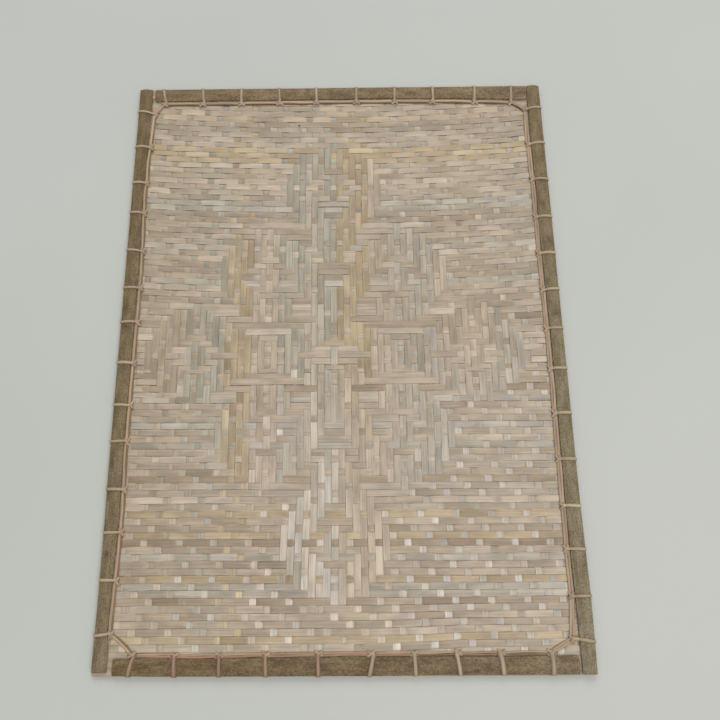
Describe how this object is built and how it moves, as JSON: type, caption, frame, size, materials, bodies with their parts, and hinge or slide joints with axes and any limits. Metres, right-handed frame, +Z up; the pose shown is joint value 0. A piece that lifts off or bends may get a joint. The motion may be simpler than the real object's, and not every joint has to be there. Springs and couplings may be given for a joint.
{
  "type": "bamboo placemat",
  "caption": "Flat rectangular placemat of flat-woven bamboo slivers with woven lozenges, bordered on top by bamboo splits that flat cane lashes down",
  "frame": {"origin": "on the surface that the mat lies on, under the middle of the mat", "axes": "+Z up from the surface, +Y along the mat towards its far short edge, +X across the mat to the right"},
  "size_m": [0.3322, 0.4522, 0.0061],
  "materials": {
    "woven_bamboo": "satin",
    "bamboo_skin": "satin",
    "cane": "matte"
  },
  "bodies": {
    "root": {"woven_sheet": "woven_bamboo", "bamboo_split_far": "bamboo_skin", "bamboo_split_near": "bamboo_skin", "bamboo_split_left": "bamboo_skin", "bamboo_split_right": "bamboo_skin", "cane_lashing_far": "cane", "cane_lashing_near": "cane", "cane_lashing_left": "cane", "cane_lashing_right": "cane"}
  },
  "joints": []
}
